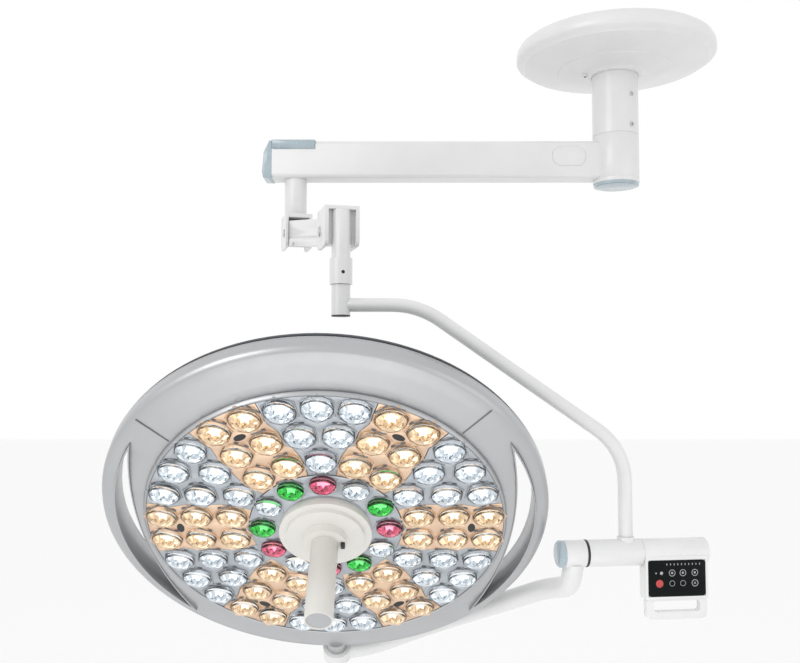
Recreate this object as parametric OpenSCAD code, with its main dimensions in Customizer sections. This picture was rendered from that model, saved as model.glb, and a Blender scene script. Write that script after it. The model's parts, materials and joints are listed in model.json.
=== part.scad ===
// Ceiling-hung operating light: canopy and drop tube, extension arm, spring arm, bent arm, quarter yoke
// and a round LED head. The origin is the centre of the ceiling plate's top face; the light hangs to -Z.

/* [Ceiling] */
// Ceiling plate diameter
plate_d = 300; // [280:1:330]
// Ceiling plate thickness
plate_t = 10; // [6:1:14]
// Ceiling bolt circle diameter
bolt_pcd = 240; // [225:1:255]
// Ceiling bolt hole diameter
bolt_hole_d = 13; // [9:0.5:16]
// Canopy diameter
canopy_d = 440; // [380:1:500]
// Canopy depth down to its collar
canopy_h = 80; // [72:1:100]
// Canopy wall
canopy_wall = 3; // [2:0.5:4]
// Drop tube diameter
drop_d = 102; // [90:1:116]
// Drop tube wall
drop_wall = 6; // [4:0.5:8]
// Bottom of the drop tube, below the ceiling
drop_len = 217; // [190:1:260]

/* [Extension arm] */
// Distance between the two swivel axes
arm_reach = 720; // [600:1:860]
// Height of the arm beam
arm_h = 83; // [70:1:100]
// Width of the arm beam
arm_w = 62; // [52:1:74]
// Wall of the arm beam
arm_wall = 4; // [3:0.5:6]
// Height of the arm's swivel collar
arm_collar_h = 99; // [90:1:120]
// Spindle tube diameter
spindle_d = 49; // [44:1:58]
// Spindle tube length below the arm
spindle_len = 85; // [60:1:120]

/* [Spring arm] */
// Distance between the spring arm's two hinge pins
spring_len = 472; // [400:1:560]
// Downward slope of the spring arm at rest
spring_slope = 9; // [0:1:20]
// Yaw of the spring arm from the viewer's direction at rest
spring_yaw = 14.7; // [-20:0.1:40]
// Width of the spring arm
spring_w = 44; // [38:1:50]
// Height of the spring arm at its rear pin
spring_rear_h = 56; // [50:1:58]
// Height of the spring arm at its front pin
spring_front_h = 46; // [44:1:48]
// Hinge pin diameter
pin_d = 12; // [10:0.5:14]
// Distance between the hinge pin and the levelling rod's pin
rod_offset = 13.5; // [13:0.5:14]

/* [Bent arm] */
// Front bearing tube diameter
front_tube_d = 31.2; // [28:0.2:36]
// Bent tube diameter
bent_d = 23; // [20:0.5:26]
// Reach of the bent arm from its swivel to the hub
bent_reach = 464.5; // [400:0.5:520]
// Drop of the bent arm from its top run to the hub axis
bent_drop = 403; // [360:1:460]
// Slope of the middle run
bent_slope = 35; // [30:1:42]

/* [Hub and control box] */
// Hub diameter
hub_d = 43; // [38:1:50]
// Yaw of the hub axis
hub_yaw = 7.3; // [0:0.1:12]
// Control panel width
panel_w = 97; // [84:1:120]
// Control panel height
panel_h = 58; // [50:1:70]
// Control box depth
box_depth = 25; // [20:1:32]
// Yoke tube diameter
yoke_d = 34; // [28:1:37]

/* [Head] */
// Head diameter
head_d = 700; // [660:1:740]
// Tilt of the head from facing straight down
head_tilt = 48.7; // [0:0.1:60]
// Outer radius of the lens field
field_r = 278.5; // [277.5:0.5:285]
// Radius of the centre module
centre_r = 119; // [117:0.5:120]
// Lens diameter of the outer field
lens_d = 46.4; // [42:0.2:47]
// Lens diameter of the centre module
endo_lens_d = 39; // [34:0.5:44]
// Depth of the head's rim
rim_depth = 30; // [26:1:40]
// Side slot's outer radius
slot_r = 326; // [322:1:328]
// Side slot's width at its middle
slot_w = 32; // [28:1:34]
// Handle diameter
handle_d = 42; // [38:1:48]
// Handle length
handle_len = 135; // [110:1:160]
// Handle mount diameter
mount_d = 144; // [130:1:150]

/* [Hidden] */
$fn = 96;

white = [0.94, 0.94, 0.93];
run = 0.05;            // radial clearance of a running fit
gap = 0.4;             // clearance between moving faces
eps = 1;               // overshoot of a cut

drop_r = drop_d / 2;
flange_r = drop_r + 24;         // flange of the drop tube under the ceiling plate
flange_bolt_r = drop_r + 11;
flange_t = 8;
arm_top = drop_len + gap;
arm_bottom = drop_len + arm_collar_h;
beam_top = arm_bottom - arm_h;
axle_r = 20;
spindle_r = spindle_d / 2;
spindle_bore = 14;
shank_r = arm_w / 2 - arm_wall - 2.5;   // the spindle tube inside the beam
spindle_bottom = arm_bottom + spindle_len;
cap_len = 22;
beam_end = arm_reach + spindle_r + 26;

knuckle_top = spindle_bottom + gap;
knuckle_plate = 8;
cheek_t = 6;
cheek_in = spring_w / 2 + 1;
cheek_out = cheek_in + cheek_t;
rear_pin_y = -26;
rear_pin_z = -(knuckle_top + knuckle_plate + spring_rear_h / 2 + 4);
front_pin_y = rear_pin_y - spring_len * cos(spring_slope);
front_pin_z = rear_pin_z - spring_len * sin(spring_slope);
tube_ahead = 45;
spring_wall = 4;
pin_r = pin_d / 2;
rod_pin_r = 3.5;
boss_r = rod_offset - rod_pin_r - 1.5;
rod_eye_r = 5;

front_r = front_tube_d / 2;
tube_y = front_pin_y - tube_ahead;
tube_x0 = -arm_reach - tube_y * sin(spring_yaw);
tube_y0 = tube_y * cos(spring_yaw);
lid_z = 30;
collar_drop = 94;               // from the front pin down to the collar's lower edge
collar_bottom = front_pin_z - collar_drop;
stem_top = collar_bottom - gap;
stem_bottom = collar_bottom - 51;
bent_z = collar_bottom - 34;
stem_spindle_r = 9;

bent_r = bent_d / 2;
hub_r = hub_d / 2;
hub_x = tube_x0 + bent_reach;
hub_z = bent_z - bent_drop;
ring_w = 4;
hub_left = -66;
hub_right = 24;
rotor_len = 34;
hub_axle_r = 11;
corner_z = bent_z - (bent_reach - 128) * tan(bent_slope);

head_r = head_d / 2;
head_x = hub_x - head_r - 132.5;    // the hub stays clear of the rim
head_y = tube_y0 - 56;
head_z = hub_z + 48;
pivot_z = 25;
pivot_r = 10;
boss_end = head_r + 10;
rim_front = 15;
rim_back = rim_front + rim_depth;
lens_r = lens_d / 2;
pocket_clear = 0.3;
endo_r = 99;
slot_mid = 96;
mount_r = mount_d / 2;
handle_r = handle_d / 2;
handle_top = 33;
hub_boss_r = handle_r + 12;     // raised hub behind the handle
latch_x = handle_r + 3.8;
latch_clear = 0.3;

// Cool sectors hold 3 + 2 + 1 lenses and warm sectors 2 + 2 + 2, on three rows: [radius, angle].
cool_cells = [[253, -12], [253, 0], [253, 12], [201, -7.9], [201, 7.9], [148, 0]];
warm_cells = [[254, -6], [254, 6], [201, -7.6], [201, 7.6], [147, -10.1], [147, 10.1]];

// ---- helpers ----
module polar(r, a) { translate([r * sin(a), -r * cos(a), 0]) children(); }
module along_x(x0, w) { translate([x0, 0, 0]) rotate([90, 0, 90]) linear_extrude(w) children(); }
module cyl_x(x0, w, r) { translate([x0, 0, 0]) rotate([0, 90, 0]) cylinder(h = w, r = r); }
module tube(h, ro, ri) {
    difference() {
        cylinder(h = h, r = ro);
        translate([0, 0, -eps]) cylinder(h = h + 2 * eps, r = ri);
    }
}
function round_rect(w, h, r) = [for (c = [[1, 1, 0], [-1, 1, 90], [-1, -1, 180], [1, -1, 270]])
    for (a = [0 : 15 : 90]) [c[0] * (w / 2 - r) + r * cos(c[2] + a), c[1] * (h / 2 - r) + r * sin(c[2] + a)]];
function unit(v) = v / norm(v);
// A route through corner points; each inner corner is rounded from cut distance d with n steps.
function rounded(p, d, n) = concat([p[0]],
    [for (i = [1 : len(p) - 2]) let (
        s = p[i] + unit(p[i - 1] - p[i]) * d[i - 1],
        e = p[i] + unit(p[i + 1] - p[i]) * d[i - 1])
        for (k = [0 : n]) let (t = k / n) (1 - t) * (1 - t) * s + 2 * t * (1 - t) * p[i] + t * t * e],
    [p[len(p) - 1]]);
function tangent(p, i) = unit(p[min(i + 1, len(p) - 1)] - p[max(i - 1, 0)]);
function carry(u, t) = unit(u - (u * t) * t);
function frames(p, u, i) = i >= len(p) ? [] :
    let (v = carry(u, tangent(p, i))) concat([v], frames(p, v, i + 1));
// A hollow tube swept along a route; start is any direction across its first run.
module swept(p, ro, ri, start, sides) {
    f = frames(p, start, 0);
    n = len(p);
    pts = [for (r = [ro, ri]) for (i = [0 : n - 1]) let (w = cross(tangent(p, i), f[i]))
        for (k = [0 : sides - 1]) p[i] + r * (cos(360 * k / sides) * f[i] + sin(360 * k / sides) * w)];
    function at(s, i, k) = (s * n + i) * sides + k % sides;
    faces = concat(
        [for (i = [0 : n - 2]) for (k = [0 : sides - 1]) each [
            [at(0, i, k), at(0, i + 1, k), at(0, i + 1, k + 1)],
            [at(0, i, k), at(0, i + 1, k + 1), at(0, i, k + 1)],
            [at(1, i, k), at(1, i + 1, k + 1), at(1, i + 1, k)],
            [at(1, i, k), at(1, i, k + 1), at(1, i + 1, k + 1)]]],
        [for (k = [0 : sides - 1]) each [
            [at(0, 0, k), at(0, 0, k + 1), at(1, 0, k + 1)],
            [at(0, 0, k), at(1, 0, k + 1), at(1, 0, k)],
            [at(0, n - 1, k), at(1, n - 1, k + 1), at(0, n - 1, k + 1)],
            [at(0, n - 1, k), at(1, n - 1, k), at(1, n - 1, k + 1)]]]);
    polyhedron(pts, faces);
}
// ---- frames of the moving groups ----
module in_spring_base() { translate([-arm_reach, 0, 0]) rotate([0, 0, spring_yaw]) children(); }
module at_rear_pin() { in_spring_base() translate([0, rear_pin_y, rear_pin_z]) children(); }
module in_spring_arm() { at_rear_pin() rotate([spring_slope, 0, 0]) children(); }
module at_front_pin() { in_spring_base() translate([0, front_pin_y, front_pin_z]) children(); }
module in_hub() { translate([hub_x, tube_y0, hub_z]) rotate([0, 0, hub_yaw]) children(); }
module in_head() { translate([head_x, head_y, head_z]) rotate([-head_tilt, 0, 0]) children(); }
// The lower pivot's axis, with +Z running outward from the head's centre.
module on_pivot() { in_head() translate([0, 0, pivot_z]) rotate([-90, 0, 0]) children(); }

// ---- ceiling group ----
module bolt_ring(r, a0) { for (a = [0 : 90 : 270]) rotate([0, 0, a + a0]) translate([r, 0, 0]) children(); }
module ceiling_plate() {
    color("silver") difference() {
        translate([0, 0, -plate_t]) cylinder(h = plate_t, d = plate_d);
        translate([0, 0, -plate_t - eps]) cylinder(h = plate_t + 2 * eps, r = 25);
        bolt_ring(bolt_pcd / 2, 45) translate([0, 0, -plate_t - eps])
            cylinder(h = plate_t + 2 * eps, d = bolt_hole_d);
        bolt_ring(flange_bolt_r, 0) translate([0, 0, -plate_t - eps]) cylinder(h = plate_t + 2 * eps, r = 4);
    }
}
module canopy_cover() {
    co = canopy_d / 2;
    w = canopy_wall;
    color(white) difference() {
        union() {
            rotate_extrude() polygon([[drop_r + 0.3, -canopy_h], [drop_r + 9, -canopy_h],
                [drop_r + 13, 7 - canopy_h], [co * 0.56, 13 - canopy_h], [co * 0.57, 16 - canopy_h],
                [co * 0.92, 29 - canopy_h], [co, 40 - canopy_h],
                [co, -1], [co - w, -1], [co - w, 41 - canopy_h], [co * 0.92 - w, 29 + w - canopy_h],
                [co * 0.56, 13 + w - canopy_h], [drop_r + 12, 7 + w - canopy_h],
                [drop_r + 0.3, 7 + w - canopy_h]]);
            translate([-drop_r - 16, 0, 1 - canopy_h]) cylinder(h = 8, r = 6);
        }
        translate([-drop_r - 16, 0, -canopy_h]) cylinder(h = 7, r = 3);
    }
}
module canopy_set_screw() {
    color("black") translate([-drop_r - 16, 0, -canopy_h + 0.4]) difference() {
        cylinder(h = 6.6, r = 3);
        translate([0, 0, -eps]) cylinder(h = 3, r = 1.5, $fn = 6);
    }
}
module power_supply() {
    color("dimgray") difference() {
        translate([flange_r + 5, -40, -plate_t - 27]) cube([58, 80, 27]);
        for (y = [-32 : 8 : 32]) translate([flange_r + 9, y, -plate_t - 27 - eps]) cube([50, 3, 4]);
    }
}
module terminal_block() {
    color("ivory") difference() {
        translate([-flange_r - 55, -24, -plate_t - 18]) cube([40, 48, 18]);
        for (y = [-18 : 12 : 18]) translate([-flange_r - 35, y, -plate_t - 18 - eps]) cylinder(h = 6, r = 3.5);
    }
}
module drop_tube() {
    color(white) difference() {
        union() {
            translate([0, 0, -drop_len]) cylinder(h = drop_len - plate_t, r = drop_r);
            translate([0, 0, -plate_t - flange_t]) cylinder(h = flange_t, r = flange_r);
        }
        translate([0, 0, -drop_len - eps]) cylinder(h = drop_len, r = drop_r - drop_wall);
        bolt_ring(flange_bolt_r, 0) translate([0, 0, -plate_t - flange_t - eps])
            cylinder(h = flange_t + 2 * eps, r = 4);
        drop_screw_places() cylinder(h = 20, r = 5, center = true);
    }
}
module flange_bolts() {
    color("gray") bolt_ring(flange_bolt_r, 0) {
        translate([0, 0, -plate_t - flange_t - 5.5]) cylinder(h = 5.5, r = 7, $fn = 6);
        translate([0, 0, -plate_t - flange_t]) cylinder(h = plate_t + flange_t - 1, r = 4);
    }
}
module drop_screw_places() {
    for (z = [-132, 17 - drop_len]) translate([0, 0, z]) rotate([0, 0, -60])
        translate([drop_r - 3, 0, 0]) rotate([0, 90, 0]) children();
}
module drop_tube_screws() {
    color("gray") drop_screw_places() difference() {
        translate([0, 0, -2]) cylinder(h = 7, r = 5);
        translate([0, 0, 3]) cylinder(h = 3, r = 2.5, $fn = 6);
    }
}
module arm_axle() {
    color("silver") {
        translate([0, 0, -arm_bottom - 4]) cylinder(h = arm_collar_h + 24, r = axle_r);
        translate([0, 0, -drop_len]) cylinder(h = 14, r = drop_r - drop_wall);
    }
}
module arm_axle_circlip() {
    color("dimgray") translate([0, 0, -arm_bottom - 3]) tube(2.4, 26, axle_r);
}

// ---- extension arm ----
module beam_profile(w, h, r) { polygon(round_rect(w, h, r)); }
module beam_run(x0, x1, inset) {
    translate([0, 0, -(beam_top + arm_bottom) / 2]) along_x(x0, x1 - x0)
        beam_profile(arm_w - 2 * inset, arm_h - 2 * inset, 9 - inset);
}
module extension_arm() {
    color(white) difference() {
        union() {
            translate([0, 0, -arm_bottom]) cylinder(h = arm_collar_h - gap, r = drop_r);
            beam_run(-beam_end, 0, 0);
        }
        beam_run(-beam_end - eps, -drop_r - 2, arm_wall);
        translate([0, 0, -arm_bottom - eps]) cylinder(h = arm_collar_h + 2 * eps, r = 30);
        translate([-arm_reach, 0, -arm_bottom - eps]) cylinder(h = arm_wall + 2 * eps, r = shank_r);
    }
}
module upper_bush() { color("goldenrod") translate([0, 0, -arm_top - 34]) tube(34, 30, axle_r + run); }
module lower_bush() { color("goldenrod") translate([0, 0, -arm_bottom]) tube(34, 30, axle_r + run); }
module hub_bottom_cap() {
    color([0.72, 0.8, 0.86]) difference() {
        translate([0, 0, -arm_bottom - 14]) union() {
            cylinder(h = 14, r = drop_r - 1.2);
            translate([0, 0, -1.5]) cylinder(h = 1.5, r = drop_r - 6);
        }
        translate([0, 0, -arm_bottom - 6]) cylinder(h = 6 + eps, r = 28);
    }
}
module arm_end_cap() {
    color([0.72, 0.8, 0.86]) difference() {
        translate([-beam_end, arm_w / 2, 0]) rotate([90, 0, 0]) linear_extrude(arm_w) polygon([
            [0, -beam_top], [-6, -beam_top], [-18, -beam_top - 26], [-cap_len, -arm_bottom + 14],
            [-cap_len + 3, -arm_bottom], [0, -arm_bottom]]);
        for (s = [-1, 1]) translate([-beam_end - 30, s * arm_w / 2, -beam_top - arm_h / 2])
            rotate([0, 0, s * 45]) cube([14, 14, arm_h + 2], center = true);
    }
}
module arm_top_cover() {
    color([0.72, 0.8, 0.86]) difference() {
        translate([-beam_end, -arm_w / 2 - 1.6, -beam_top - 19])
            cube([96, arm_w + 3.2, 20.6]);
        translate([-beam_end - eps, -arm_w / 2, -beam_top - 20]) cube([96 + 2 * eps, arm_w, 20]);
    }
}
module arm_side_panel() {
    color(white) translate([-148, -arm_w / 2, -beam_top - 35]) rotate([90, 0, 0])
        translate([37, 0, 0]) linear_extrude(1.2) polygon(round_rect(74, 44, 20));
}
module arm_cable() {
    color("black") translate([-arm_reach + spindle_r + 12, 0, -arm_bottom + arm_wall + 5])
        rotate([0, 90, 0]) cylinder(h = arm_reach - spindle_r - 12 - drop_r - 16, r = 5);
}
module spindle_tube() {
    color(white) translate([-arm_reach, 0, -spindle_bottom]) {
        tube(spindle_len, spindle_r, spindle_bore);
        translate([0, 0, spindle_len]) tube(16, shank_r, spindle_bore);
    }
}

// ---- spring arm's swivel head ----
module rod_pin_pair(w) { translate([0, 0, rod_offset]) cyl_x(-w, 2 * w, rod_pin_r); }
module cheek_profile(front, back, low, high, r) {
    polygon([[front, high], [back, high], [back, low + r], [back - 0.3 * r, low + 0.3 * r], [back - r, low],
        [front + r, low], [front + 0.3 * r, low + 0.3 * r], [front, low + r]]);
}
module rear_knuckle() {
    top = -knuckle_top - rear_pin_z;
    color(white) difference() {
        at_rear_pin() union() {
            for (x = [-cheek_out, cheek_in])
                along_x(x, cheek_t) cheek_profile(-30, -rear_pin_y + 24, -34, top, 10);
            translate([-cheek_out, -30, top - knuckle_plate])
                cube([2 * cheek_out, 54 - rear_pin_y, knuckle_plate]);
            along_x(-cheek_in, 2 * cheek_in) polygon([[-rear_pin_y + 18, top], [-rear_pin_y + 24, top],
                [-rear_pin_y + 24, -22], [-rear_pin_y + 18, -22]]);
            rod_pin_pair(cheek_in);
            translate([0, -rear_pin_y, top]) cylinder(h = spindle_len + 16 + 8.6, r = spindle_bore - run);
        }
        at_rear_pin() cyl_x(-cheek_out - eps, 2 * cheek_out + 2 * eps, pin_r);
    }
}
module spindle_nut() {
    color("gray") translate([-arm_reach, 0, -arm_bottom + 16 + gap]) difference() {
        cylinder(h = 8, r = 21, $fn = 6);
        translate([0, 0, -eps]) cylinder(h = 8 + 2 * eps, r = spindle_bore - run);
    }
}
module hinge_pin() {
    cyl_x(-cheek_out, 2 * cheek_out, pin_r);
    for (x = [-cheek_out - 1.6, cheek_out]) cyl_x(x, 1.6, pin_r + 3);
}
module rear_hinge_pin() { color("silver") at_rear_pin() hinge_pin(); }

// ---- spring arm ----
module side_profile(inset) {
    rr = spring_rear_h / 2 - inset;
    rf = spring_front_h / 2 - inset;
    circle(r = rr);
    translate([-spring_len, 0]) circle(r = rf);
    polygon([[0, rr], [0, -rr], [-spring_len, -rf], [-spring_len, rf]]);
}
// The room that the levelling rod's pin sweeps through around a hinge pin.
module rod_slot(r) {
    difference() {
        circle(r = r + rod_pin_r + 0.8);
        circle(r = r - rod_pin_r - 0.8);
        polygon([[0, 0], [-60, -24], [-60, -60], [60, -60], [60, 15], [0, 0]]);
        polygon([[0, 0], [-60, 70], [-60, -60], [0, -60]]);
    }
}
module spring_shell() {
    w = spring_w / 2;
    difference() {
        along_x(-w, spring_w) side_profile(0);
        along_x(-w + spring_wall, spring_w - 2 * spring_wall) side_profile(spring_wall);
    }
}
module spring_arm_body() {
    w = spring_w / 2;
    color(white) in_spring_arm() difference() {
        union() {
            spring_shell();
            for (y = [0, -spring_len]) translate([0, y, 0]) {
                cyl_x(-w + 1, 12, boss_r);
                cyl_x(w - 13, 12, boss_r);
            }
        }
        along_x(-w - eps, spring_w + 2 * eps)
            polygon([[60, -10], [60, -60], [-spring_len - 60, -60], [-spring_len - 60, -10]]);
        for (y = [0, -spring_len]) translate([0, y, 0]) {
            cyl_x(-w - eps, spring_w + 2 * eps, pin_r + run);
            along_x(-w - eps, spring_w + 2 * eps) rod_slot(rod_offset);
        }
    }
}
module spring_arm_cover() {
    w = spring_w / 2;
    color(white) in_spring_arm() difference() {
        spring_shell();
        along_x(-w - eps, spring_w + 2 * eps)
            polygon([[60, -10.2], [60, 60], [-spring_len - 60, 60], [-spring_len - 60, -10.2]]);
        translate([0, -94, -46]) cyl_x(-w - eps, spring_w + 2 * eps, 30);
    }
}
function coil(turns, r, pitch, n) = [for (i = [0 : turns * n]) let (a = 360 * i / n)
    [r * cos(a), -pitch * i / n, r * sin(a)]];
spring_z = -3;
spring_start = -150;
spring_turns = 16;
spring_pitch = 12;
module balance_spring() {
    color("dimgray") in_spring_arm() translate([0, spring_start, spring_z - 8])
        swept(coil(spring_turns, 7, spring_pitch, 12), 1.6, 0.5, [1, 0, 0], 6);
}
module spring_guide() {
    run_len = spring_turns * spring_pitch;
    color("silver") in_spring_arm() {
        translate([0, spring_start + 2 + 8, spring_z - 8]) rotate([90, 0, 0])
            cylinder(h = run_len + 20, r = 4.6);
        for (y = [spring_start + 2, spring_start - run_len - 10])
            translate([-spring_w / 2 + spring_wall, y, -18.5]) cube([spring_w - 2 * spring_wall, 8, 14]);
    }
}
module levelling_rod() {
    color("silver") in_spring_arm() translate([0, rod_offset * sin(spring_slope), rod_offset * cos(spring_slope)])
        difference() {
            union() {
                translate([0, -4, 0]) rotate([90, 0, 0]) cylinder(h = spring_len - 8, r = 2.6);
                for (y = [0, -spring_len]) translate([0, y, 0]) cyl_x(-4, 8, rod_eye_r);
            }
            cyl_x(-5, 10, rod_pin_r + run);
            translate([0, -spring_len, 0]) cyl_x(-5, 10, rod_pin_r + 0.35);
        }
}

// ---- front joint ----
module front_knuckle() {
    color(white) at_front_pin() difference() {
        union() {
            for (x = [-cheek_out, cheek_in])
                along_x(x, cheek_t) cheek_profile(-tube_ahead - 12, 20, -30, lid_z + 6, 8);
            translate([-cheek_out, -tube_ahead - 12, lid_z]) cube([2 * cheek_out, tube_ahead - 4, 6]);
            translate([-cheek_in, -tube_ahead, -28]) cube([2 * cheek_in, tube_ahead - 28, lid_z + 28]);
            rod_pin_pair(cheek_in);
            translate([0, -tube_ahead, -collar_drop]) cylinder(h = lid_z + collar_drop, r = front_r);
        }
        cyl_x(-cheek_out - eps, 2 * cheek_out + 2 * eps, pin_r);
        translate([0, -tube_ahead, -collar_drop - eps]) cylinder(h = collar_drop + 18, r = stem_spindle_r + run);
        translate([0, -tube_ahead, -8]) cylinder(h = 5, r = 12.5);
        translate([0, -tube_ahead - front_r - 8, -75]) rotate([-90, 0, 0]) cylinder(h = 14, r = 3);
    }
}
module front_hinge_pin() { color("silver") at_front_pin() hinge_pin(); }
module front_collar() {
    color(white) at_front_pin() translate([0, -tube_ahead, -collar_drop]) difference() {
        tube(43, front_r + 3.4, front_r + run);
        translate([0, -front_r - 8, 19]) rotate([-90, 0, 0]) cylinder(h = 14, r = 3);
    }
}
module front_brake_screw() {
    color("black") at_front_pin() translate([0, -tube_ahead, -75]) rotate([90, 0, 0]) difference() {
        translate([0, 0, stem_spindle_r + 1]) cylinder(h = front_r - stem_spindle_r + 2, r = 3);
        translate([0, 0, front_r + 1]) cylinder(h = 4, r = 1.5, $fn = 6);
    }
}

// ---- bent arm ----
module bent_arm_stem() {
    color(white) difference() {
        union() {
            translate([tube_x0, tube_y0, stem_bottom]) cylinder(h = stem_top - stem_bottom, r = front_r);
            translate([tube_x0, tube_y0, stem_bottom + 4])
                cylinder(h = collar_bottom - stem_bottom + 98, r = stem_spindle_r);
        }
        translate([tube_x0, tube_y0, stem_bottom - eps]) cylinder(h = 6, r = front_r - 3);
        translate([tube_x0, tube_y0, bent_z]) cyl_x(4, 30, bent_r);
    }
}
module stem_end_plug() {
    color([0.2, 0.2, 0.22]) translate([tube_x0, tube_y0, stem_bottom - 2]) union() {
        cylinder(h = 2, r = front_r);
        cylinder(h = 7, r = front_r - 3);
    }
}
module stem_circlip() {
    color("dimgray") at_front_pin() translate([0, -tube_ahead, -6.8]) tube(2.4, 12, stem_spindle_r);
}
bent_route = rounded([[4, 0, bent_z], [128, 0, bent_z], [bent_reach, 0, corner_z],
    [bent_reach, 0, hub_z + hub_r - 6]], [45, 55], 8);
module bent_tube() {
    color(white) translate([tube_x0, tube_y0, 0])
        swept(bent_route, bent_r - run, bent_r - 2.5, [0, 1, 0], 32);
}
module hub_housing() {
    color(white) in_hub() difference() {
        union() {
            cyl_x(hub_left, hub_right - hub_left, hub_r);
            cylinder(h = hub_r + 4, r = bent_r + 2.5);
        }
        cyl_x(hub_left - eps, 60 + eps, hub_axle_r + run);
        cyl_x(hub_right - 20, 20 + eps, hub_axle_r - 1);
        translate([0, 0, hub_r - 6]) cylinder(h = 20, r = bent_r);
    }
}
module hub_axle() {
    color("silver") in_hub() cyl_x(hub_right - 20, 20 + 60, hub_axle_r - 1);
}

// ---- control box ----
box_x = hub_right + gap;
box_y = -hub_r;
module loop_profile() {
    difference() {
        translate([0, -14]) polygon(round_rect(panel_w + 4, 36, 9));
        translate([0, -11.5]) polygon(round_rect(panel_w - 18, 17, 5));
    }
}
module control_box() {
    w = panel_w + 12;
    color(white) in_hub() difference() {
        union() {
            cyl_x(box_x, w, hub_r);
            translate([box_x, box_y, -panel_h - 14]) cube([w - 4, box_depth, panel_h + 10]);
            translate([box_x + w / 2 - 2, box_y + 15, -panel_h - 14]) rotate([90, 0, 0]) linear_extrude(13)
                loop_profile();
        }
        cyl_x(box_x - eps, 62, hub_axle_r - 1 + run);
        translate([box_x + (w - panel_w) / 2 - 2, box_y - eps, -panel_h - 10]) cube([panel_w, eps + 2, panel_h]);
    }
}
module keypad_glass() {
    w = panel_w + 12;
    color("black") in_hub() translate([box_x + w / 2 - 2, box_y + 2, -panel_h / 2 - 10]) rotate([90, 0, 0])
        linear_extrude(2.4) polygon(round_rect(panel_w - 1, panel_h - 1, 5));
}

// ---- yoke ----
rotor_x = hub_left - gap - ring_w - rotor_len;
module yoke_rotor() {
    color(white) in_hub() {
        cyl_x(rotor_x, rotor_len, hub_r);
        cyl_x(rotor_x + rotor_len - 1, ring_w + 56, hub_axle_r);
    }
}
module rotor_ring() {
    color("black") in_hub() translate([rotor_x + rotor_len, 0, 0]) rotate([0, 90, 0])
        tube(ring_w, hub_r + 0.3, hub_axle_r);
}
module rotor_end_cap() {
    color([0.72, 0.8, 0.86]) in_hub() rotate([0, 90, 0]) translate([0, 0, rotor_x - 11]) union() {
        cylinder(h = 3, r1 = hub_r - 3, r2 = hub_r);
        translate([0, 0, 3]) cylinder(h = 8, r = hub_r);
    }
}
// A point off the head's centre, at distance r towards the lower pivot and z behind the lamp face.
function off_head(x, r, z) = [x, r * cos(head_tilt) + z * sin(head_tilt), z * cos(head_tilt) - r * sin(head_tilt)];
// The yoke's corners about the head's centre: the first two lie off the hub, the next two pass round the rim,
// and the last two lie off the lower pivot.
yoke_corners = [[head_r + 46, 44, -58], [head_r + 44, 70, -106],
    off_head(head_r + 18, 0.5343 * head_r, 24.9), off_head(0.5143 * head_r, head_r + 2.1, 67.4),
    off_head(62, head_r + 36.9, 43.4), off_head(4, head_r + 23.9, 25.6)];
module yoke_tube() {
    route = rounded([for (p = yoke_corners) p + [head_x, head_y, head_z]], [24, 34, 60, 24], 6);
    color(white) difference() {
        swept(route, yoke_d / 2, yoke_d / 2 - 3, [1, 0, 0], 32);
        in_hub() cyl_x(rotor_x - 20, rotor_len + 40, hub_r);
        on_pivot() translate([0, 0, boss_end - 5]) cylinder(h = 60, r = 25);
    }
}
module pivot_housing() {
    color(white) on_pivot() {
        translate([0, 0, boss_end + gap]) cylinder(h = 26, r = 25);
        translate([0, 0, boss_end - 28]) cylinder(h = 34, r = pivot_r - run);
    }
}
module pivot_cap() {
    color(white) on_pivot() translate([0, 0, boss_end + gap + 26]) cylinder(h = 4, r1 = 24.5, r2 = 21);
}

// ---- head ----
module crescent(grow) {
    ri = slot_r - slot_w;
    difference() {
        circle(r = slot_r + grow);
        translate([0, slot_r + 1]) circle(r = ri + slot_r + 1 - grow);
    }
}
module both_slots(grow) { for (a = [-slot_mid, slot_mid]) rotate([0, 0, a]) crescent(grow); }
module slot_cut(grow) {
    translate([0, 0, -10]) linear_extrude(140) both_slots(grow);
}
ring_in = field_r + 0.4;
module head_ring() {
    color([0.72, 0.73, 0.76]) in_head() difference() {
        union() {
            rotate_extrude() polygon([[ring_in, 5.7], [head_r - 8, rim_front - 1], [head_r - 2, rim_front + 3],
                [head_r, rim_front + 9], [head_r, rim_back - 4], [head_r - 3, rim_back], [head_r - 6, rim_back],
                [head_r - 6, rim_back - 4], [head_r - 4, rim_front + 9], [head_r - 9, rim_front + 3],
                [ring_in + 3, 9.2], [ring_in + 3, 24], [ring_in, 24]]);
            translate([0, head_r - 12, pivot_z]) rotate([-90, 0, 0]) cylinder(h = boss_end - head_r + 12, r = 18);
        }
        slot_cut(2.2);
        translate([0, head_r - 40, pivot_z]) rotate([-90, 0, 0]) cylinder(h = 80, r = pivot_r);
    }
}
module slot_liners() {
    color([0.72, 0.73, 0.76]) in_head() translate([0, 0, 7]) linear_extrude(rim_back + 1) difference() {
        both_slots(2);
        both_slots(0);
    }
}
module head_rear_cover() {
    color([0.22, 0.23, 0.25]) in_head() difference() {
        rotate_extrude() polygon([[head_r - 6, rim_back + 0.1], [head_r - 1, rim_back + 0.1],
            [head_r - 4, rim_back + 8], [head_r - 30, rim_back + 14], [250, rim_back + 34], [140, rim_back + 48],
            [0, rim_back + 52], [0, rim_back + 49.5], [140, rim_back + 45.5], [249, rim_back + 31.5],
            [head_r - 31, rim_back + 11.5], [head_r - 6, rim_back + 6]]);
        slot_cut(2.2);
    }
}
module heat_sink() {
    color("silver") in_head() {
        translate([0, 0, 20]) cylinder(h = 4, r = ring_in - 1);
        for (a = [0 : 15 : 345]) rotate([0, 0, a]) translate([60, -1.5, 24]) cube([170, 3, 34]);
    }
}
module led_board() { color("darkgreen") in_head() translate([0, 0, 18.2]) cylinder(h = 1.8, r = ring_in - 4); }
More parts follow.
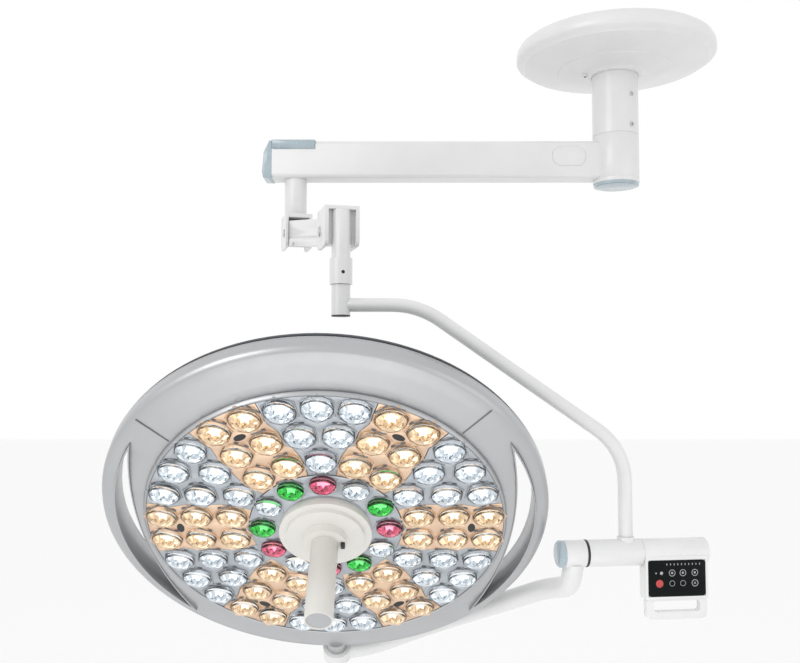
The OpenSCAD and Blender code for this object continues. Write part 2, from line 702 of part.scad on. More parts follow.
module cells(list, first) {
    for (s = [0 : 60 : 300]) for (c = list) polar(c[0], s + first + c[1]) children();
}
module endo_cells() { for (a = [0 : 30 : 330]) polar(endo_r, a) children(); }
module led_chips() {
    color("khaki") in_head() translate([0, 0, 16.6]) {
        cells(cool_cells, 0) translate([-2.5, -2.5, 0]) cube([5, 5, 1.6]);
        cells(warm_cells, 30) translate([-2.5, -2.5, 0]) cube([5, 5, 1.6]);
        endo_cells() translate([-2.5, -2.5, 0]) cube([5, 5, 1.6]);
    }
}
function at_polar(r, a) = [r * sin(a), -r * cos(a)];
// Half-angle of a cool sector's edge, which winds between the lens rows of the two kinds of sector.
edge = [[100, 10], [147, 10], [160, 10.6], [180, 12.8], [201, 15.2], [215, 15.4], [235, 17.9], [300, 18]];
function wedge(cool) = let (h = [for (e = edge) [e[0], (cool ? e[1] : 30 - e[1]) - 0.12]]) concat(
    [for (e = h) at_polar(e[0], e[1])], [at_polar(330, 0)],
    [for (i = [len(h) - 1 : -1 : 0]) at_polar(h[i][0], -h[i][1])]);
module sector_plates(list, first, cool) {
    in_head() for (s = [0 : 60 : 300]) rotate([0, 0, s + first]) difference() {
        intersection() {
            linear_extrude(5) polygon(wedge(cool));
            cylinder(h = 5, r = field_r);
        }
        translate([0, 0, -eps]) cylinder(h = 5 + 2 * eps, r = centre_r + 0.8);
        for (c = list) polar(c[0], c[1]) translate([0, 0, -eps])
            cylinder(h = 5 + 2 * eps, r = lens_r + pocket_clear);
    }
}
module cool_plates() { color("silver") sector_plates(cool_cells, 0, true); }
module warm_plates() { color([0.95, 0.75, 0.5]) sector_plates(warm_cells, 30, false); }
module lens(r) {
    rotate_extrude() polygon([[0, -8], [r * 0.4, -7.2], [r * 0.7, -5], [r * 0.9, -2.4], [r, 0], [r, 3],
        [r * 0.7, 11], [5, 16.4], [4.2, 16.4], [4.2, 13], [0, 13]]);
}
module cool_lenses() { color([0.85, 0.92, 1]) in_head() cells(cool_cells, 0) lens(lens_r); }
module warm_lenses() { color([1, 0.85, 0.6]) in_head() cells(warm_cells, 30) lens(lens_r); }
module centre_lenses() { color([0.6, 1, 0.6]) in_head() endo_cells() lens(endo_lens_d / 2); }
module centre_plate() {
    color("silver") in_head() difference() {
        translate([0, 0, -1]) cylinder(h = 6, r = centre_r);
        endo_cells() translate([0, 0, -2]) cylinder(h = 8, r = endo_lens_d / 2 + pocket_clear);
    }
}

// ---- sterile handle ----
core_r = handle_r - 4;
module handle_mount() {
    color([0.9, 0.89, 0.86]) in_head() difference() {
        union() {
            translate([0, 0, -14]) cylinder(h = 13, r = mount_r);
            translate([0, 0, -20]) cylinder(h = 6, r = mount_r - 12);
            translate([0, 0, -handle_top]) cylinder(h = 13, r = hub_boss_r);
            translate([0, 0, -handle_top - handle_len + 8]) cylinder(h = handle_len - 8, r = core_r - run);
        }
        translate([latch_x - latch_clear, -6 - latch_clear, -handle_top - 1])
            cube([6 + 2 * latch_clear, 12 + 2 * latch_clear, 12]);
    }
}
module handle_sleeve() {
    color([0.9, 0.89, 0.86]) in_head() translate([0, 0, -handle_top - handle_len]) difference() {
        cylinder(h = handle_len - gap, r = handle_r);
        translate([0, 0, 5]) cylinder(h = handle_len, r = core_r);
        translate([0, 0, -eps]) cylinder(h = eps + 1.2, r = handle_r - 2.4);
    }
}
module handle_latch() {
    color("dimgray") in_head() translate([latch_x, -6, -handle_top - 4]) cube([6, 12, 11]);
}

ceiling_plate();
canopy_cover();
canopy_set_screw();
power_supply();
terminal_block();
drop_tube();
flange_bolts();
drop_tube_screws();
arm_axle();
arm_axle_circlip();
extension_arm();
upper_bush();
lower_bush();
hub_bottom_cap();
arm_end_cap();
arm_top_cover();
arm_side_panel();
arm_cable();
spindle_tube();
rear_knuckle();
spindle_nut();
rear_hinge_pin();
spring_arm_body();
spring_arm_cover();
balance_spring();
spring_guide();
levelling_rod();
front_knuckle();
front_hinge_pin();
front_collar();
front_brake_screw();
bent_arm_stem();
stem_end_plug();
stem_circlip();
bent_tube();
hub_housing();
hub_axle();
control_box();
keypad_glass();
yoke_rotor();
rotor_ring();
rotor_end_cap();
yoke_tube();
pivot_housing();
pivot_cap();
head_ring();
head_rear_cover();
slot_liners();
heat_sink();
led_board();
led_chips();
cool_plates();
warm_plates();
cool_lenses();
warm_lenses();
centre_plate();
centre_lenses();
handle_mount();
handle_sleeve();
handle_latch();
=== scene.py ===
# Ceiling-hung LED operating light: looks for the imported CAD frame.
import json
import math

import bmesh
import bpy
from mathutils import Matrix, Vector


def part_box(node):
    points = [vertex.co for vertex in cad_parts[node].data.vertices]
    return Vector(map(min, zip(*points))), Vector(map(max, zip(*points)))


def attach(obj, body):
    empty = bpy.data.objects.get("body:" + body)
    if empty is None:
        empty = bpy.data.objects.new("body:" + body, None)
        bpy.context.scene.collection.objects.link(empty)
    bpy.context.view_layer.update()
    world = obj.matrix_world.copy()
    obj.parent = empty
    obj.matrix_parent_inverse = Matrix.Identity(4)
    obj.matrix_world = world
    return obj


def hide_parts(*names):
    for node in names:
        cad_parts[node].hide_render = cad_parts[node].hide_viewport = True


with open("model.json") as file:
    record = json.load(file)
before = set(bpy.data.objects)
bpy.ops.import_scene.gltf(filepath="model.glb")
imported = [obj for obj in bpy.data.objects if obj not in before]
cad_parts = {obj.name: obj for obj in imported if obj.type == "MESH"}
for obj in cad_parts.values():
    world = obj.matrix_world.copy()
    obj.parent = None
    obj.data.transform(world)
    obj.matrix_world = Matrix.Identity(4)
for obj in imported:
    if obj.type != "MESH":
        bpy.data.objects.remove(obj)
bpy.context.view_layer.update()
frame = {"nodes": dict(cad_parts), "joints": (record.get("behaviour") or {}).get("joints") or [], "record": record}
JOINTS = {j["name"]: j for j in frame["joints"]}
MM = 0.001
SCENE = bpy.context.scene


# ---------------------------------------------------------------- camera
CAMERA_PLACE = (-0.486, -2.0, -0.775)
CAMERA_PITCH = 3.4                            # degrees above the horizon
FOCAL_SHARE = 1.125                           # focal length over picture width
SENSOR_WIDTH = 36.0


def make_camera():
    data = bpy.data.cameras.new("camera")
    camera = bpy.data.objects.new("camera", data)
    SCENE.collection.objects.link(camera)
    data.sensor_width = SENSOR_WIDTH
    data.lens = FOCAL_SHARE * SENSOR_WIDTH
    data.clip_end = 60
    camera.location = CAMERA_PLACE
    camera.rotation_euler = (math.radians(90 + CAMERA_PITCH), 0, 0)
    SCENE.camera = camera


make_camera()


# ---------------------------------------------------------------- places
def point(joint):
    return Vector(JOINTS[joint]["pos_m"])


def axis(joint):
    return Vector(JOINTS[joint]["axis"]).normalized()


def basis(origin, x, y, z):
    m = Matrix((x, y, z)).transposed().to_4x4()
    m.translation = origin
    return m


HEAD_R = 350 * MM
PIVOT_BEHIND_FACE = 25 * MM
HEAD_Y = axis("head_swivel")                  # from the head's centre to its lower pivot
HEAD_Z = -axis("handle_pull")                 # from the lamp face to the rear cover
HEAD = basis(point("head_swivel") - HEAD_R * HEAD_Y - PIVOT_BEHIND_FACE * HEAD_Z,
             HEAD_Y.cross(HEAD_Z), HEAD_Y, HEAD_Z)
HUB_X = axis("yoke_rotation")
UP = Vector((0, 0, 1))
HUB = basis(point("yoke_rotation"), HUB_X, UP.cross(HUB_X), UP)


# ---------------------------------------------------------------- materials
class Nodes:
    """A small builder for one node material."""

    def __init__(self, name):
        self.mat = bpy.data.materials.new(name)
        self.mat.use_nodes = True
        self.tree = self.mat.node_tree
        self.shader = self.tree.nodes["Principled BSDF"]

    def add(self, kind, **values):
        node = self.tree.nodes.new(kind)
        for key, value in values.items():
            setattr(node, key, value)
        return node

    def link(self, a, b):
        self.tree.links.new(a, b)

    def coords(self):
        return self.add("ShaderNodeTexCoord").outputs["Object"]

    def noise(self, scale, detail=3.0, roughness=0.5):
        node = self.add("ShaderNodeTexNoise")
        node.inputs["Scale"].default_value = scale
        node.inputs["Detail"].default_value = detail
        node.inputs["Roughness"].default_value = roughness
        self.link(self.coords(), node.inputs["Vector"])
        return node.outputs["Fac"]

    def ramp(self, fac, stops):
        node = self.add("ShaderNodeValToRGB")
        while len(node.color_ramp.elements) < len(stops):
            node.color_ramp.elements.new(0.5)
        for element, (place, colour) in zip(node.color_ramp.elements, stops):
            element.position = place
            element.color = (*colour, 1)
        self.link(fac, node.inputs["Fac"])
        return node.outputs["Color"]

    def spread(self, fac, low, high):
        node = self.add("ShaderNodeMapRange")
        node.inputs["To Min"].default_value = low
        node.inputs["To Max"].default_value = high
        self.link(fac, node.inputs["Value"])
        return node.outputs["Result"]

    def bump(self, height, strength, distance):
        node = self.add("ShaderNodeBump")
        node.inputs["Strength"].default_value = strength
        node.inputs["Distance"].default_value = distance
        self.link(height, node.inputs["Height"])
        self.link(node.outputs["Normal"], self.shader.inputs["Normal"])

    def set(self, **values):
        for key, value in values.items():
            self.shader.inputs[key.replace("_", " ")].default_value = value


def mixed(a, b, t):
    return tuple(p * (1 - t) + q * t for p, q in zip(a, b))


def paint(name, colour, rough=0.32, metallic=0.0, grain=900, bump=0.06, coat=0.25, shade=0.05,
          specular=None):
    """Painted or moulded surface: faint mottling, fine orange peel and a thin coat."""
    n = Nodes(name)
    broad = n.noise(14, 4)
    dark = tuple(c * (1 - shade) for c in colour)
    n.link(n.ramp(broad, [(0.3, dark), (0.7, colour)]), n.shader.inputs["Base Color"])
    n.link(n.spread(n.noise(60, 4), rough * 0.8, rough * 1.25), n.shader.inputs["Roughness"])
    n.bump(n.noise(grain, 2), bump, 0.0004)
    n.set(Metallic=metallic, Coat_Weight=coat, Coat_Roughness=0.12)
    if specular is not None:
        n.set(Specular_IOR_Level=specular)
    return n.mat


def metal(name, colour, rough=0.25, lines=400, bump=0.1):
    """Turned or brushed metal, its fine lines running round the vertical."""
    n = Nodes(name)
    wave = n.add("ShaderNodeTexWave")
    wave.bands_direction = "Z"
    wave.inputs["Scale"].default_value = lines
    wave.inputs["Distortion"].default_value = 3
    wave.inputs["Detail"].default_value = 2
    n.link(n.coords(), wave.inputs["Vector"])
    dark = tuple(c * 0.86 for c in colour)
    n.link(n.ramp(n.noise(30, 4), [(0.3, dark), (0.7, colour)]), n.shader.inputs["Base Color"])
    n.link(n.spread(n.noise(90, 3), rough * 0.7, rough * 1.4), n.shader.inputs["Roughness"])
    n.bump(wave.outputs["Fac"], bump, 0.0002)
    n.set(Metallic=1.0)
    return n.mat


def clear(name, colour, rough=0.03, ior=1.46):
    """Moulded clear plastic with a slightly wavy skin."""
    n = Nodes(name)
    n.link(n.ramp(n.noise(40, 3), [(0.3, mixed(colour, (1, 1, 1), 0.15)), (0.7, colour)]),
           n.shader.inputs["Base Color"])
    n.link(n.spread(n.noise(120, 2), rough * 0.5, rough * 1.6), n.shader.inputs["Roughness"])
    n.bump(n.noise(160, 1), 0.12, 0.0006)
    n.set(Transmission_Weight=1.0, IOR=ior)
    return n.mat


def glow(name, colour, strength):
    """Glowing surface, brightest in the middle of its grain: on the lens stars this glow is a painted highlight.
    """
    n = Nodes(name)
    n.link(n.ramp(n.noise(300, 2), [(0.2, mixed(colour, (1, 1, 1), 0.3)), (0.8, colour)]),
           n.shader.inputs["Emission Color"])
    n.shader.inputs["Base Color"].default_value = (*colour, 1)
    n.set(Emission_Strength=strength, Roughness=0.4)
    return n.mat


def frosted(name, colour):
    """Blue-grey translucent end caps: milky plastic with soft variation inside."""
    n = Nodes(name)
    n.link(n.ramp(n.noise(22, 3), [(0.25, mixed(colour, (0.30, 0.38, 0.43), 0.45)), (0.75, colour)]),
           n.shader.inputs["Base Color"])
    n.link(n.spread(n.noise(80, 3), 0.16, 0.34), n.shader.inputs["Roughness"])
    n.bump(n.noise(700, 2), 0.05, 0.0004)
    n.set(Coat_Weight=0.6, Coat_Roughness=0.06, Transmission_Weight=0.15)
    return n.mat


WHITE = paint("white_paint", (0.70, 0.705, 0.70))
WHITE_PLASTIC = paint("white_plastic", (0.71, 0.715, 0.71), rough=0.25, grain=1500, bump=0.03, coat=0.4)
CREAM = paint("handle_plastic", (0.68, 0.665, 0.63), rough=0.38, grain=1300, bump=0.04, coat=0.15)
BLUE_GREY = frosted("blue_grey_plastic", (0.44, 0.53, 0.58))
SILVER = paint("silver_paint", (0.46, 0.465, 0.475), rough=0.36, metallic=0.75, grain=2200, bump=0.05)
CHARCOAL = paint("charcoal_plastic", (0.045, 0.05, 0.06), rough=0.5, grain=1600, bump=0.2, coat=0.0, shade=0.2)
STEEL = metal("steel", (0.60, 0.60, 0.61))
ALUMINIUM = metal("aluminium", (0.78, 0.79, 0.80), rough=0.3, lines=250)
BRONZE = metal("bronze", (0.62, 0.42, 0.20), rough=0.35)
BLACK = paint("black_plastic", (0.02, 0.02, 0.022), rough=0.45, bump=0.12, coat=0.0, shade=0.3)
BLACK_STEEL = metal("black_steel", (0.05, 0.05, 0.055), rough=0.35)
RUBBER = paint("cable_rubber", (0.025, 0.025, 0.025), rough=0.6, bump=0.2, coat=0.0, shade=0.3)
GLASS_BLACK = paint("black_glass", (0.004, 0.006, 0.006), rough=0.16, bump=0.0, coat=0.0, shade=0.3,
                    specular=0.12)
COOL_METAL = metal("cool_reflector", (0.47, 0.50, 0.53), rough=0.30, lines=60, bump=0.05)
WARM_METAL = metal("warm_reflector", (0.80, 0.59, 0.43), rough=0.34, lines=60, bump=0.05)
COOL_FACETS = metal("cool_facets", (0.80, 0.84, 0.87), rough=0.14, lines=60, bump=0.05)
WARM_FACETS = metal("warm_facets", (0.93, 0.77, 0.60), rough=0.18, lines=60, bump=0.05)
COOL_CLEAR = clear("clear_lens", (0.96, 0.98, 1.0), ior=1.22)
WARM_CLEAR = clear("warm_lens", (1.0, 0.95, 0.87), ior=1.22)
GREEN_CLEAR = clear("green_lens", (0.16, 0.84, 0.22), ior=1.3)
PINK_CLEAR = clear("pink_lens", (0.97, 0.34, 0.46), ior=1.3)
INSERT = paint("handle_insert", (0.40, 0.405, 0.42), rough=0.4, grain=1300, bump=0.04, coat=0.1)
BOARD = paint("circuit_board", (0.02, 0.13, 0.05), rough=0.4, grain=600, shade=0.3)
PHOSPHOR = paint("led_phosphor", (0.85, 0.72, 0.2), rough=0.5)
# Painted highlights: these glows make the bright star in each lens centre.
COOL_HIGHLIGHT = glow("cool_highlight", (0.93, 0.97, 1.0), 1.5)
WARM_HIGHLIGHT = glow("warm_highlight", (1.0, 0.88, 0.68), 1.5)
GREEN_HIGHLIGHT = glow("green_highlight", (0.75, 1.0, 0.78), 1.6)
PINK_HIGHLIGHT = glow("pink_highlight", (1.0, 0.80, 0.84), 1.6)
# Painted shadow: a flat dark grey that stands for the shade in the ring's seams, round the lens field's edge and
# under the pockets' upper lips.
SEAM_SHADOW = paint("seam_shadow", (0.16, 0.165, 0.175), rough=0.6, coat=0.0)
LEGEND = glow("keypad_legend", (0.30, 0.33, 0.34), 0.12)
LEGEND_RED = glow("keypad_power", (0.42, 0.03, 0.035), 0.12)
BY_SLOT = {
    "white_paint": WHITE, "white_plastic": WHITE_PLASTIC, "handle_plastic": CREAM,
    "blue_grey_plastic": BLUE_GREY, "silver_paint": SILVER, "charcoal_plastic": CHARCOAL,
    "steel": STEEL, "aluminium": ALUMINIUM, "bronze": BRONZE, "black_plastic": BLACK,
    "black_steel": BLACK_STEEL, "cable_rubber": RUBBER, "black_glass": GLASS_BLACK,
    "cool_reflector": COOL_METAL, "warm_reflector": WARM_METAL, "clear_lens": COOL_CLEAR,
    "warm_lens": WARM_CLEAR, "green_lens": GREEN_CLEAR, "circuit_board": BOARD,
    "led_phosphor": PHOSPHOR,
}


# ---------------------------------------------------------------- CAD nodes
# Edge radii in mm of the moulded and cast pieces; the others get EDGE_MM.
EDGE_MM = 0.7
SOFT_EDGES = {"handle_mount": 1.8, "handle_sleeve": 1.2, "extension_arm": 1.2, "control_box": 1.5,
              "hub_housing": 1.2, "yoke_rotor": 1.2, "pivot_housing": 1.5, "arm_top_cover": 1.2}

# Turned pieces with cross holes keep crisp edges: a bevel would shade the long facets beside
# the holes unevenly.
HOLED = ("drop_tube", "front_collar", "bent_arm_stem")
WELD_M = 0.00002
CREASE_DEG = 35                               # sharper corners stay creased on the pieces above
BEVEL_DEG = 40                                # sharper corners are rounded on the others


def dress_cad_nodes():
    """Every CAD node gets its material, and a small rounded edge or, with cross holes, a crease."""
    for sub in frame["record"]["subparts"]:
        cad = frame["nodes"][sub["node"]]
        cad.data.materials.clear()
        cad.data.materials.append(BY_SLOT[sub["material_slot"]])
        for face in cad.data.polygons:
            face.use_smooth = True
        weld = cad.modifiers.new("weld", "WELD")
        weld.merge_threshold = WELD_M
        if sub["node"] in HOLED:
            cad.modifiers.new("crease", "EDGE_SPLIT").split_angle = math.radians(CREASE_DEG)
            continue
        bevel = cad.modifiers.new("edge", "BEVEL")
        bevel.width = SOFT_EDGES.get(sub["node"], EDGE_MM) * MM
        bevel.segments = 2
        bevel.limit_method = "ANGLE"
        bevel.angle_limit = math.radians(BEVEL_DEG)
        bevel.harden_normals = True


dress_cad_nodes()


# ---------------------------------------------------------------- mesh helpers
def piece(name, body, bm, material, replaced=(), smooth=35):
    """Makes the shown object of one mesh. Corners sharper than smooth, in degrees, stay sharp."""
    bmesh.ops.recalc_face_normals(bm, faces=bm.faces)
    mesh = bpy.data.meshes.new(name)
    bm.to_mesh(mesh)
    bm.free()
    for face in mesh.polygons:
        face.use_smooth = True
    mesh.set_sharp_from_angle(angle=math.radians(smooth))
    mesh.materials.append(material)
    obj = bpy.data.objects.new(name, mesh)
    SCENE.collection.objects.link(obj)
    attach(obj, body)
    if replaced:
        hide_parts(*replaced)
    return obj


def add_lathe(bm, profile, matrix, sides=96):
    """Turns (radius, height) points in mm about matrix's Z. A radius of 0 closes to a point."""
    rings = []
    for r, h in profile:
        if r < 1e-6:
            rings.append([bm.verts.new(matrix @ Vector((0, 0, h * MM)))])
            continue
        ring = []
        for k in range(sides):
            a = 2 * math.pi * k / sides
            ring.append(bm.verts.new(matrix @ Vector((r * MM * math.cos(a), r * MM * math.sin(a), h * MM))))
        rings.append(ring)
    for a, b in zip(rings, rings[1:]):
        for k in range(sides):
            quad = [a[k % len(a)], a[(k + 1) % len(a)], b[(k + 1) % len(b)], b[k % len(b)]]
            corners = list(dict.fromkeys(quad))
            if len(corners) > 2:
                bm.faces.new(corners)


def polar(r, degrees):
    """A point of the head's face, clockwise from the top as the viewer sees it, in mm."""
    a = math.radians(degrees)
    return Vector((r * math.sin(a), -r * math.cos(a), 0))


def place(r, degrees):
    """The head frame moved to a lens, its Y pointing outward."""
    return HEAD @ Matrix.Translation(polar(r, degrees) * MM) @ Matrix.Rotation(
        math.radians(degrees), 4, "Z")


# ---------------------------------------------------------------- lens field
COOL_CELLS = [(253, -12), (253, 0), (253, 12), (201, -7.9), (201, 7.9), (148, 0)]
WARM_CELLS = [(254, -6), (254, 6), (201, -7.6), (201, 7.6), (147, -10.1), (147, 10.1)]
LENS_R = 23.2
CENTRE_LENS_R = 21.2
CENTRE_RING_R = 99


def cells(pattern, first):
    return [place(r, first + s + a) for s in range(0, 360, 60) for r, a in pattern]


def add_dome(bm, m, r, height, sides=32):
    """Clear outer dome of a lens, closed behind."""
    profile = [(0, -height)] + [(r * math.sin(math.radians(t)), -height * math.cos(math.radians(t)))
                                for t in range(15, 91, 15)]
    add_lathe(bm, profile + [(r * 0.96, 1.2), (0, 1.2)], m, sides)


def add_bowl(bm, m, r, depth, petals=12):
    """Fluted reflector behind a dome: petals rise and fall round a shallow bowl."""
    rows = 6
    sides = petals * 2
    grid = []
    for i in range(rows + 1):
        t = i / rows
        rr = r * (0.24 + 0.76 * t)
        ring = []
        for k in range(sides):
            a = 2 * math.pi * (k + 0.5 * (i % 2)) / sides
            wave = 1.0 if k % 2 else -1.0
            h = depth * (1 - t * t) + 1.9 * wave * math.sin(math.pi * min(1, 1.15 * t))
            ring.append(bm.verts.new(m @ (Vector((rr * math.cos(a), rr * math.sin(a), h)) * MM)))
        grid.append(ring)
    for a, b in zip(grid, grid[1:]):
        for k in range(sides):
            bm.faces.new((a[k], a[(k + 1) % sides], b[(k + 1) % sides], b[k]))


def add_star(bm, m, r, height, points=6):
    """Painted highlight seen through the lens: a low faceted star that glows."""
    tip = bm.verts.new(m @ Vector((0, 0, (height - 2.2) * MM)))
    ring = []
    for k in range(points * 2):
        a = math.pi * k / points
        rr = r if k % 2 else r * 0.55
        ring.append(bm.verts.new(m @ (Vector((rr * math.cos(a), rr * math.sin(a), height)) * MM)))
    for k in range(len(ring)):
        bm.faces.new((tip, ring[k], ring[(k + 1) % len(ring)]))
    bm.faces.new(ring)


def add_pocket(bm, m, r_in, r_out, lift, sides=6):
    """Faceted rim round a lens: a hexagonal lip that slopes in to the round pocket."""
    steps = sides * 6
    loops = []
    for rr, h, hexed in ((r_in, 3.5, 0.0), (r_in, 0.4, 0.0), (r_out - 1.0, -lift, 0.9), (r_out, -lift, 1.0),
                         (r_out + 0.6, 0.5, 1.0)):
        loop = []
        for k in range(steps):
            a = 2 * math.pi * k / steps
            wedge_a = (a + math.pi / sides) % (2 * math.pi / sides) - math.pi / sides
            flat = math.cos(math.pi / sides) / math.cos(wedge_a)
            radius = rr * (1 + hexed * (flat / math.cos(math.pi / sides) * 0.955 - 1))
            loop.append(bm.verts.new(m @ (Vector((radius * math.cos(a), radius * math.sin(a), h)) * MM)))
        loops.append(loop)
    for a, b in zip(loops, loops[1:]):
        for k in range(steps):
            bm.faces.new((a[k], a[(k + 1) % steps], b[(k + 1) % steps], b[k]))


def add_shadow_bars(bm, m, r):
    """Painted shadow along the upper walls of a hexagonal pocket: a dark bar on each wall that faces down, where
    the lip's shade falls.
    """
    for k in range(6):
        turn = m @ Matrix.Rotation(math.radians(60 * k), 4, "Z")
        outward = (turn.to_3x3() @ Vector((0, -1, 0))).normalized()
        if outward.dot(-HEAD_Y) < 0.8:
            continue
        half = r * 0.47
        ends = []
        for x in (-half, half):
            for y, z in ((r, -1.7), (r + 2.3, -1.7), (r + 2.3, 0.5), (r, 0.5)):
                ends.append(bm.verts.new(turn @ (Vector((x, -y, z)) * MM)))
        for i in range(4):
            bm.faces.new((ends[i], ends[(i + 1) % 4], ends[4 + (i + 1) % 4], ends[4 + i]))
        bm.faces.new(ends[:4])
        bm.faces.new(ends[4:])


def lens_family(name, places, r, mats, replaced):
    """One kind of lens: domes, fluted bowls, stars of painted highlight, pocket rims and dark bars of painted
    shadow under the pockets' upper lips, each a group of repeats.
    """
    clear_mat, facet_mat, highlight_mat, rim_mat = mats
    domes, bowls, stars, rims, shadow_bars = (bmesh.new() for _ in range(5))
    for m in places:
        add_dome(domes, m @ Matrix.Translation((0, 0, -0.4 * MM)), r - 0.4, 8.6)
        add_bowl(bowls, m @ Matrix.Translation((0, 0, 1.6 * MM)), r - 0.5, 6.0)
        add_star(stars, m @ Matrix.Translation((0, 0, 1.6 * MM)), r * 0.44, 2.6)
        add_pocket(rims, m, r + 0.1, r + 2.6, 1.3)
        # Painted shadow: a dark bar under each pocket's upper lip.
        add_shadow_bars(shadow_bars, m, r + 0.4)
    piece(name + "_lens_domes", "head", domes, clear_mat, replaced, 60)
    piece(name + "_lens_bowls", "head", bowls, facet_mat, smooth=10)
    piece(name + "_lens_highlight_stars", "head", stars, highlight_mat, smooth=10)
    piece(name + "_pocket_rims", "head", rims, rim_mat, smooth=28)
    piece(name + "_pocket_shadow_bars", "head", shadow_bars, SEAM_SHADOW, smooth=20)


def lens_field():
    lens_family("cool", cells(COOL_CELLS, 0), LENS_R, (COOL_CLEAR, COOL_FACETS, COOL_HIGHLIGHT, COOL_METAL),
                ("cool_lenses",))
    lens_family("warm", cells(WARM_CELLS, 30), LENS_R, (WARM_CLEAR, WARM_FACETS, WARM_HIGHLIGHT, WARM_METAL),
                ("warm_lenses",))
    colours = {"pink": (PINK_CLEAR, PINK_HIGHLIGHT, (0, 90, 180, 240)),
               "white": (COOL_CLEAR, COOL_HIGHLIGHT, (30, 120, 210, 300)),
               "green": (GREEN_CLEAR, GREEN_HIGHLIGHT, (60, 150, 270, 330))}
    for name, (clear_mat, highlight_mat, angles) in colours.items():
        places = [place(CENTRE_RING_R, a) for a in angles]
        lens_family("endo_" + name, places, CENTRE_LENS_R, (clear_mat, COOL_FACETS, highlight_mat, COOL_METAL),
                    ("centre_lenses",) if name == "pink" else ())


lens_field()


# ---------------------------------------------------------------- head details
SEAM_ANGLES = (-50, 46)
SEAM_REACH = (285, 342)                       # mm from the head's centre
SEAM_HEIGHT = (5.4, 12.4)                     # mm above the face at either end
SEAM_DEPTH = 2.5
SEAM_HALF_WIDTH = 0.6
SLOT_RADIUS = 227.5


def add_seam(bm, degrees):
    """A thin dark bar sunk across the ring, its corners in the order (end, side, depth)."""
    start, end = (polar(r, degrees) for r in SEAM_REACH)
    along = (end - start).normalized()
    side = Vector((-along.y, along.x, 0)) * SEAM_HALF_WIDTH
    front = [p + sign * side + Vector((0, 0, h)) for p, h in zip((start, end), SEAM_HEIGHT) for sign in (1, -1)]
    back = [v + Vector((0, 0, SEAM_DEPTH)) for v in front]
    corners = [bm.verts.new(HEAD @ (v * MM)) for v in front + back]
    for face in ((0, 1, 3, 2), (0, 2, 6, 4), (1, 5, 7, 3), (4, 6, 7, 5), (0, 4, 5, 1), (2, 3, 7, 6)):
        bm.faces.new([corners[i] for i in face])


def head_trim():
    """Band and seal round the lens field, the ring's two seams and the sectors' dark slots."""
    band = bmesh.new()
    add_lathe(band, [(277.6, 3.0), (278.0, -0.5), (279.2, -1.2), (281.6, 0.6), (282.6, 4.6), (281.6, 6.2),
                     (278.5, 6.2)], HEAD, 192)
    piece("lens_field_band", "head", band, SILVER, smooth=40)
    seal = bmesh.new()
    add_lathe(seal, [(276.9, 0.6), (276.9, -0.35), (278.0, -0.35), (278.0, 0.6), (276.9, 0.6)], HEAD, 192)
    piece("lens_field_seal", "head", seal, SEAM_SHADOW)
    seams = bmesh.new()
    for degrees in SEAM_ANGLES:
        add_seam(seams, degrees)
    piece("ring_seams", "head", seams, SEAM_SHADOW)
    slots = bmesh.new()
    for s in range(30, 360, 60):
        m = place(SLOT_RADIUS, s) @ Matrix.Scale(1.75, 4, (1, 0, 0))
        add_lathe(slots, [(0, -0.5), (5.4, -0.5), (6.2, 0.4), (6.2, 2), (0, 2)], m, 40)
    piece("sector_slots", "head", slots, BLACK)


head_trim()


# ---------------------------------------------------------------- canopy and handle
def canopy():
    """The ceiling cover turned with its rolled shoulder, ledges and collar, and the boss of its set screw."""
    lo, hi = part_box("canopy_cover")
    rim, low = hi.x / MM, lo.z / MM
    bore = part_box("extension_arm")[1].x / MM + 0.3
    bm = bmesh.new()
    outer = [(bore, low + 8), (bore, low + 0.8), (bore + 0.8, low), (bore + 7.5, low), (bore + 9.5, low + 0.8),
             (bore + 11, low + 3), (bore + 14, low + 5.6), (bore + 20, low + 7.4), (rim * 0.45, low + 9.6),
             (rim * 0.555, low + 12.2), (rim * 0.566, low + 13), (rim * 0.57, low + 15), (rim * 0.68, low + 19),
             (rim * 0.82, low + 24), (rim * 0.905, low + 27.6), (rim * 0.923, low + 29), (rim * 0.93, low + 31.2)]
    shoulder = [(rim - 8, low + 35), (rim - 2, low + 38.6), (rim, low + 42), (rim, -28), (rim - 1.2, -21),
                (rim - 5.5, -13), (rim - 14, -6.8), (rim - 29, -2.8), (rim - 50, -1)]
    inner = [(r - 3 if r > rim - 10 else r - 1, h - 2.6 if h > -22 else h + 2.2) for r, h in reversed(shoulder)]
    inner += [(rim * 0.9, low + 31), (rim * 0.57, low + 18), (bore + 20, low + 10.5), (bore + 4, low + 8)]
    add_lathe(bm, outer + shoulder + inner + [(bore, low + 8)], Matrix.Identity(4), 160)
    screw_lo, screw_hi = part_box("canopy_set_screw")
    at = Matrix.Translation(((screw_lo.x + screw_hi.x) / 2, 0, 0))
    add_lathe(bm, [(3.1, low + 8), (3.1, low + 1), (5.2, low + 1), (6.2, low + 2), (7, low + 8),
                   (3.1, low + 8)], at, 40)
    piece("canopy_shell", "ceiling", bm, WHITE, ("canopy_cover",), smooth=32)


canopy()


HUB_GAP, HUB_SKIRT = 0.1, 8.5                 # mm, the skirt's clearance and height


def hub_trim():
    """White skirt of the main swivel, which leaves only a thin line of the blue-grey cap's side."""
    cap_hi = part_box("hub_bottom_cap")[1]
    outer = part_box("extension_arm")[1].x / MM
    inner = cap_hi.x / MM + HUB_GAP
    top = cap_hi.z / MM - HUB_GAP
    low = top - HUB_SKIRT
    bm = bmesh.new()
    add_lathe(bm, [(inner, top), (inner, low), (outer - 0.7, low), (outer - 0.15, low + 0.5), (outer, low + 1.2),
                   (outer, top), (inner, top)], Matrix.Identity(4), 128)
    piece("hub_skirt", "extension_arm", bm, WHITE, smooth=32)


hub_trim()


